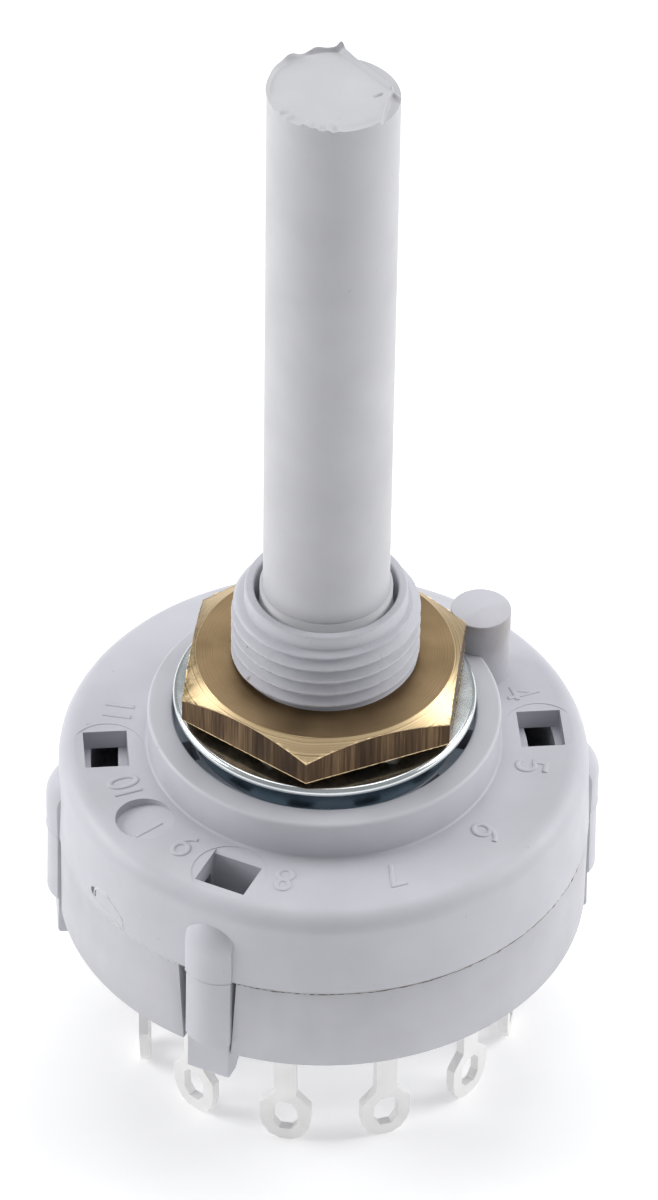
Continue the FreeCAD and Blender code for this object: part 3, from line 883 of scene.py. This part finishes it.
def shaft():
    """The spindle above its journal: a plain cylinder whose end is torn."""
    steps = 360
    angles = around(steps)
    wall = np.array([(0, JOURNAL_TOP_Z)] + [(SHAFT_R, z) for z in WALL_LEVELS])
    cap_r = np.concatenate([[SHAFT_R - 0.01, SHAFT_R - 0.04], np.linspace(SHAFT_R - 0.08, 1.6, 44),
                            np.linspace(1.5, 0, 14)])
    cap = np.column_stack([cap_r, np.full(len(cap_r), END_Z)])
    points = turned_grid(np.concatenate([wall, cap]), angles)
    top = points[len(wall):]
    r = np.hypot(top[..., 0], top[..., 1])
    rise = END_Z + shaft_end_height(np.full(steps, SHAFT_R), angles) - PLAIN_TOP_Z
    top[..., 2] += shaft_end_height(r, np.broadcast_to(angles, r.shape))
    upper = points[WALL_LEVELS.index(PLAIN_TOP_Z) + 2:len(wall), :, 2]
    upper[:] = PLAIN_TOP_Z + (upper - PLAIN_TOP_Z) * rise / (END_Z - PLAIN_TOP_Z)
    out = smooth(points[..., 2], 38.25, 38.7) * shaft_flare(angles)[None, :]
    edge = smooth(np.hypot(points[..., 0], points[..., 1]), 2.9, SHAFT_R)
    points[..., :2] *= (1 + out * edge / SHAFT_R)[..., None]
    return mesh_object("shaft", points, grid_faces(len(points), steps, False, True))


def spindle():
    """The shaft together with the drum and journal, which keep their solid's form."""
    work = welded("spindle")
    above = [v for v in work.verts if v.co.z > (JOURNAL_TOP_Z + 0.1) * MM]
    bmesh.ops.delete(work, geom=above, context="VERTS")
    bmesh.ops.holes_fill(work, edges=[e for e in work.edges if e.is_boundary])
    bmesh.ops.recalc_face_normals(work, faces=work.faces)
    drum = in_scene("drum", mesh_of("drum", work))
    obj = shaded(joined("moulded_spindle", [drum, shaft()]), 35)
    return dressed(obj, SHAFT_PLASTIC, "rotor", "spindle_plastic", "spindle")


def nut():
    """The nut, with burrs along its edges.

    At each angle an outline runs up the bore, out over the face and down the chamfer and the flat. The flat's
    distance from the axis is half the width across flats over the cosine of the angle from its middle.
    """
    steps = 720
    angles = around(steps) + math.radians(NUT_AT)
    local = (angles - math.radians(NUT_AT)) % (TURN / 6) - TURN / 12
    flat_r = NUT_HALF_FLATS / np.cos(local)
    edge_z = NUT_TOP_Z - (flat_r - NUT_FACE_R) * NUT_CHAMFER
    burr = 0.018 * np.clip(0.6 + 0.6 * ripple(angles, 41, 30, 300, 0.2), 0.1, 2.0)
    one = np.ones(steps)
    rows = [(NUT_BORE_R * one, z * one) for z in (NUT_Z, NUT_TOP_Z - 0.02)]
    rows += [(r * one, NUT_TOP_Z * one) for r in np.linspace(NUT_BORE_R + 0.03, NUT_FACE_R, 10)]
    face_rows = len(rows)
    rows += [(NUT_FACE_R + t * (flat_r - NUT_FACE_R), NUT_TOP_Z + t * (edge_z - NUT_TOP_Z))
             for t in (0.25, 0.5, 0.75, 0.96)]
    rows += [(flat_r + burr, edge_z + 0.6 * burr), (flat_r + 0.4 * burr, edge_z - 0.035)]
    chamfer_rows = len(rows)
    rows += [(flat_r, edge_z + t * (NUT_Z + 0.05 - edge_z)) for t in (0.06, 0.33, 0.66, 1)]
    side_rows = len(rows)
    rows += [(flat_r + 0.8 * burr, NUT_Z + 0.015 - 0.3 * burr), (flat_r - 0.03, NUT_Z * one),
             (6.0 * one, NUT_Z * one)]
    r = np.array([row[0] for row in rows])
    z = np.array([row[1] for row in rows])
    points = np.stack([r * np.cos(angles), r * np.sin(angles), z], axis=-1)
    obj = mesh_object("brass_nut", points, grid_faces(len(rows), steps, True, True), merge=False)
    row_of = np.repeat(np.arange(len(rows)), steps)
    kind = np.where(row_of < face_rows - 1, 0, np.where(row_of < chamfer_rows - 1, 1, 2))
    kind = np.where((row_of >= side_rows - 1) & (row_of <= side_rows), 1, kind)
    dressed(obj, BRASS, "switch_body", "nut_brass", "hex_nut")
    obj.data.polygons.foreach_set("material_index", kind.astype(np.int32))
    return shaded(obj, 12)


def washer():
    """The lock washer: a flat outline with a large round outer rim, turned, and its twisted inner teeth."""
    high = LOCK_Z + LOCK_T
    outline = rounded([(LOCK_IN_R, LOCK_Z, 0.04), (LOCK_OUT_R, LOCK_Z, 0.2), (LOCK_OUT_R, high, 0.27),
                       (LOCK_IN_R, high, 0.04)], 10)
    parts = [revolve("ring", outline, 288)]
    middle = Matrix.Translation((0, 0, (LOCK_Z + LOCK_T / 2) * MM))
    for k in range(TOOTH_COUNT):
        tooth = box_piece("tooth", *TOOTH, LOCK_Z, high)
        tooth.data.transform(middle @ Matrix.Rotation(math.radians(TOOTH_TWIST), 4, "X") @ middle.inverted())
        parts.append(turn(tooth, 360.0 / TOOTH_COUNT * k))
    obj = shaded(joined("toothed_washer", parts), 40)
    return dressed(obj, ZINC, "switch_body", "zinc_plated_steel", "lock_washer")


def stroke(points, closed):
    """A raised line: a half round section carried along points (x, y) in the face's own plane."""
    p = np.asarray(points, float)
    ahead = np.roll(p, -1, axis=0) - p
    back = p - np.roll(p, 1, axis=0)
    if not closed:
        ahead[-1] = back[-1]
        back[0] = ahead[0]
    ahead /= np.linalg.norm(ahead, axis=1)[:, None]
    back /= np.linalg.norm(back, axis=1)[:, None]
    along = ahead + back
    along /= np.linalg.norm(along, axis=1)[:, None]
    side = np.column_stack([along[:, 1], -along[:, 0]]) / np.clip((ahead * along).sum(1), 0.5, 1)[:, None]
    a = np.linspace(0, math.pi, 7)
    across = np.concatenate([[STROKE_W / 2], STROKE_W / 2 * np.cos(a), [-STROKE_W / 2]])
    lift = np.concatenate([[-0.03], STROKE_H * np.sin(a) ** 0.8, [-0.03]])
    grid = np.empty((len(p), len(across), 3))
    grid[..., :2] = p[:, None, :] + side[:, None, :] * across[None, :, None]
    grid[..., 2] = lift
    faces = grid_faces(len(p), len(across), closed, True).tolist()
    if not closed:
        faces += [list(range(len(across))), list(range((len(p) - 1) * len(across), len(p) * len(across)))]
    return mesh_object("stroke", grid, faces)


def arc(cx, cy, rx, ry, start, end, count=18):
    """Points on an ellipse between two angles."""
    a = np.radians(np.linspace(start, end, count))
    return [(cx + rx * math.cos(t), cy + ry * math.sin(t)) for t in a]


def figure_strokes(figure):
    """The lines of one figure in a box one wide and one high about its middle: (points, closed)."""
    ring = arc(0, 0, 0.5, 0.5, 0, 340, 18)
    shapes = {
        "0": [(ring, True)],
        "1": [([(0, 0.5), (0, -0.5)], False)],
        "2": [(arc(0, 0.2, 0.46, 0.3, 160, -35) + [(-0.46, -0.5), (0.48, -0.5)], False)],
        "3": [(arc(0, 0.24, 0.42, 0.26, 150, -90, 12) + arc(0, -0.25, 0.48, 0.25, 90, -150, 14)[1:], False)],
        "4": [([(0.18, -0.5), (0.18, 0.5), (-0.5, -0.2), (0.5, -0.2)], False)],
        "5": [([(0.42, 0.5), (-0.36, 0.5), (-0.42, 0.08)] + arc(0, -0.19, 0.46, 0.31, 120, -145, 14), False)],
        "6": [(arc(0, -0.2, 0.46, 0.3, 0, 340, 18), True), (arc(0.52, -0.2, 0.98, 0.72, 175, 104, 9), False)],
        "7": [([(-0.42, 0.5), (0.42, 0.5), (-0.02, -0.5)], False)],
        "8": [(arc(0, 0.26, 0.38, 0.24, 0, 340, 18), True), (arc(0, -0.25, 0.46, 0.25, 0, 340, 18), True)],
    }
    if figure == "9":
        return [([(-x, -y) for x, y in points], closed) for points, closed in shapes["6"]]
    return shapes[figure]


def numerals():
    """The raised numbers of the dial, their heads outwards."""
    pieces = []
    for n in range(1, POSITIONS):
        degrees = DIAL_ZERO - STEP * n + (TEN_ASIDE if n == 10 else 0.0)
        x, y = polar(1.0, degrees)
        place = axes((y, -x, 0), (x, y, 0), (0, 0, 1), [v * MM for v in (*polar(NUMERAL_R, degrees), FACE_Z)])
        text = str(n)
        width = NUMERAL_W * (0.85 if len(text) > 1 else 1.0)
        for k, figure in enumerate(text):
            shift = (k - (len(text) - 1) / 2) * NUMERAL_W * 0.95
            for points, closed in figure_strokes(figure):
                line = stroke([(px * width + shift, py * NUMERAL_H) for px, py in points], closed)
                line.data.transform(place)
                pieces.append(line)
    obj = shaded(joined("dial_numbers", pieces), 50)
    return dressed(obj, PLASTIC, "switch_body", "housing_plastic")


def mark_bar():
    """The raised bar in the tilted recess, laid on the slope of its floor."""
    line = stroke([(0, -BAR_HALF), (0, 0), (0, BAR_HALF)], False)
    out = np.array(polar(1.0, BAR_AT))
    side = np.array([out[1], -out[0]])
    fall = np.array(polar(1.0, MARK_FALLS_TO))
    slope = MARK_DEPTH / (2 * MARK_R)
    centre = np.array(polar(BAR_R, BAR_AT))
    deep = (centre - np.array(polar(MARK_PITCH_R, MARK_AT))) @ fall
    at = np.array([*centre, FACE_Z - slope * (deep + MARK_R)]) * MM
    down = fall * slope
    line.data.transform(axes((*side, -down @ side), (*out, -down @ out), (0, 0, 1), at))
    return dressed(shaded(joined("mark_bar", [line]), 50), PLASTIC, "switch_body", "housing_plastic")


def parting_thread(name, out, drop, material):
    """A thin three sided thread round the parting line: it stands out by the given amount at every angle."""
    steps = len(out)
    a = around(steps)
    free = np.ones(steps)
    for clip in CLIP_AT:
        gap = np.abs((a - math.radians(clip) + math.pi) % TURN - math.pi)
        free *= smooth(gap, 0.115, 0.125)
    out = out * free - 0.03 * (1 - free)
    r = np.stack([np.full(steps, BODY_R - 0.06), BODY_R - 0.01 + out, np.full(steps, BODY_R - 0.06)])
    low = PARTING_Z - 0.03 - drop
    z = np.stack([np.full(steps, low), low + 0.04 - out * 0.3, np.full(steps, low + 0.08)])
    points = np.stack([r * np.cos(a), r * np.sin(a), z], axis=-1)
    obj = mesh_object(name, points, grid_faces(3, steps, True, True), merge=False)
    return dressed(shaded(obj, 30), material, "switch_body", "housing_plastic")


def parting_line():
    """Torn flash on the parting line, strongest at the front left, and below it at the right a dark brown thread
    that paints the shadow in the gap.
    """
    steps = 1440
    a = around(steps)
    bare = facing(a, -172, 0.86, 0.93)
    left = facing(a, -112, 0.8, 0.98)
    height = np.clip(0.45 + 0.55 * ripple(a, 31, 20, 260, 0.35), 0, 2.2) * (1 - bare)
    parting_thread("parting_flash", 0.012 + height * (0.016 + 0.03 * left), 0.0, FLASH_PLASTIC)
    # Painted shadow: a dark brown thread in the gap at the right, pulled back inside the wall elsewhere
    right = facing(a, -62, 0.55, 0.75)
    gap = right * np.clip(0.02 + 0.012 * ripple(a, 33, 12, 200, 0.3), 0.004, 0.05) - 0.03 * (1 - right)
    parting_thread("parting_gap_painted_shadow", gap, 0.06, PAINTED_GAP_SHADOW)


def key_outline():
    """The key's faint outline: a three sided thread along a closed path of (angle, height) on the wall."""
    path = np.array(KEY_LINE + KEY_LINE[:1])
    t = np.linspace(0, len(KEY_LINE), 97)[:-1]
    at, z = (np.interp(t, np.arange(len(path)), path[:, k]) for k in (0, 1))
    for _ in range(2):
        at, z = ((np.roll(v, 1) + v + np.roll(v, -1)) / 3 for v in (at, z))
    a = np.radians(at)
    radius = BODY_R + (BODY_TOP_R - BODY_R) * (z - PARTING_Z) / (FACE_Z - PARTING_Z)
    centre = np.column_stack([radius * np.cos(a), radius * np.sin(a), z])
    out = np.column_stack([np.cos(a), np.sin(a), np.zeros_like(a)])
    along = np.roll(centre, -1, axis=0) - np.roll(centre, 1, axis=0)
    side = np.cross(out, along / np.linalg.norm(along, axis=1)[:, None])
    lift = 0.032 + 0.010 * ripple(t * TURN / len(KEY_LINE), 35, 3, 30, 0.4)
    rows = np.stack([centre - 0.055 * side - 0.03 * out, centre + lift[:, None] * out,
                     centre + 0.055 * side - 0.03 * out], axis=1)
    obj = mesh_object("key_outline", rows, grid_faces(len(centre), 3, True, True), merge=False)
    return dressed(shaded(obj, 50), FLASH_PLASTIC, "switch_body", "housing_plastic")


def bent_lug(n, shift_x, shift_y, twist):
    """Terminal n from its solid: below the base every point shifts and turns in proportion to its depth."""
    node = f"terminal_{n:02d}"
    work = welded(node)
    for level in np.linspace(BASE_Z, FLOOR_Z, 9)[:-1]:
        everything = work.verts[:] + work.edges[:] + work.faces[:]
        bmesh.ops.bisect_plane(work, geom=everything, plane_co=(0, 0, level * MM), plane_no=(0, 0, 1),
                               dist=WELD)
    mesh = mesh_of(node, work)
    points = np.empty(len(mesh.vertices) * 3)
    mesh.vertices.foreach_get("co", points)
    points = points.reshape(-1, 3) / MM
    t = np.clip((BASE_Z - points[:, 2]) / (BASE_Z - FLOOR_Z), 0, None)
    centre = np.array(polar(TERMINAL_R, DIAL_ZERO - STEP * n))
    a = np.radians(twist) * np.clip(2 * t, 0, 1)
    x, y = (points[:, :2] - centre).T
    points[:, 0] = centre[0] + x * np.cos(a) - y * np.sin(a) + shift_x * t
    points[:, 1] = centre[1] + x * np.sin(a) + y * np.cos(a) + shift_y * t
    mesh.vertices.foreach_set("co", (points * MM).ravel())
    obj = bevelled(in_scene(f"bent_lug_{n:02d}", mesh), *LUG_EDGE, 40, harden=True)
    return dressed(obj, SILVER, "switch_body", "plated_contact", node)


def cad_nodes():
    """Finishes for the nodes whose solids are shown as they are, with softened edges where they are seen."""
    # The stop ring takes the zinc darkened with painted shade
    finishes = {"contact_base": BASE_PLASTIC, "stop_ring": SHADED_ZINC,
                "common_terminal": SILVER, "wiper": SILVER, "detent_ball_a": STEEL, "detent_ball_b": STEEL,
                "detent_spring": STEEL}
    soften = {"contact_base": (0.05, 2), "stop_ring": (0.06, 2)}
    for n in sorted(set(range(1, POSITIONS + 1)) - {row[0] for row in BENT_LUGS}):
        finishes[f"terminal_{n:02d}"] = SILVER
        soften[f"terminal_{n:02d}"] = LUG_EDGE
    for node, material in finishes.items():
        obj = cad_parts[node]
        obj.material_slots[0].material = material
        if node in soften:
            weld = obj.modifiers.new("weld", "WELD")
            weld.merge_threshold = WELD
            bevelled(obj, *soften[node], 40, harden=True)


def camera():
    """The camera at the photograph's place: yaw, pitch and roll turned into its axes."""
    yaw, pitch, roll = CAMERA_YAW, CAMERA_PITCH, CAMERA_ROLL
    ahead = np.array([math.sin(yaw) * math.cos(pitch), math.cos(yaw) * math.cos(pitch), -math.sin(pitch)])
    right = np.array([math.cos(yaw), -math.sin(yaw), 0])
    up = np.cross(right, ahead)
    right, up = (math.cos(roll) * right + math.sin(roll) * up,
                 math.cos(roll) * up - math.sin(roll) * right)
    data = bpy.data.cameras.new("camera")
    data.lens = CAMERA_LENS
    data.sensor_width = SENSOR_W
    data.clip_start = 0.01
    obj = in_scene("camera", data)
    obj.matrix_world = axes(right, up, -ahead, CAMERA_AT)
    bpy.context.scene.camera = obj


def soft_light(name, at, size, power):
    """A square soft box that faces the middle of the switch."""
    data = bpy.data.lights.new(name, "AREA")
    data.size = size
    data.energy = power
    back = np.array(at) - np.array(LIT_POINT)
    back = back / np.linalg.norm(back)
    right = np.cross((0, 0, 1), back)
    right = right / np.linalg.norm(right)
    in_scene(name, data).matrix_world = axes(right, np.cross(back, right), back, at)


def studio():
    """A plain pale floor, an even sky and three soft boxes."""
    corners = [(x * FLOOR_HALF, y * FLOOR_HALF, FLOOR_Z) for x, y in ((-1, -1), (1, -1), (1, 1), (-1, 1))]
    floor = mesh_object("floor", corners, [(0, 1, 2, 3)])
    finish = Finish("pale_floor", 0.9, specular=0.1)
    finish.colour(finish.ramp(finish.noise(3, 2), [(0.3, (0.90, 0.90, 0.90)), (0.7, (0.92, 0.92, 0.92))]))
    finish.shader.inputs["Emission Color"].default_value = (1, 1, 1, 1)
    finish.shader.inputs["Emission Strength"].default_value = 0.22
    floor.data.materials.append(finish.material)
    world = bpy.data.worlds.new("sky")
    world.use_nodes = True
    world.node_tree.nodes["Background"].inputs["Color"].default_value = (0.97, 0.98, 1.0, 1)
    world.node_tree.nodes["Background"].inputs["Strength"].default_value = 0.34
    bpy.context.scene.world = world
    bpy.context.scene.view_settings.view_transform = "Standard"
    for box in SOFT_BOXES:
        soft_light(*box)


housing()
threaded_bush()
peg()
spindle()
nut()
washer()
numerals()
mark_bar()
parting_line()
key_outline()
for bent in BENT_LUGS:
    bent_lug(*bent)
cad_nodes()
camera()
studio()
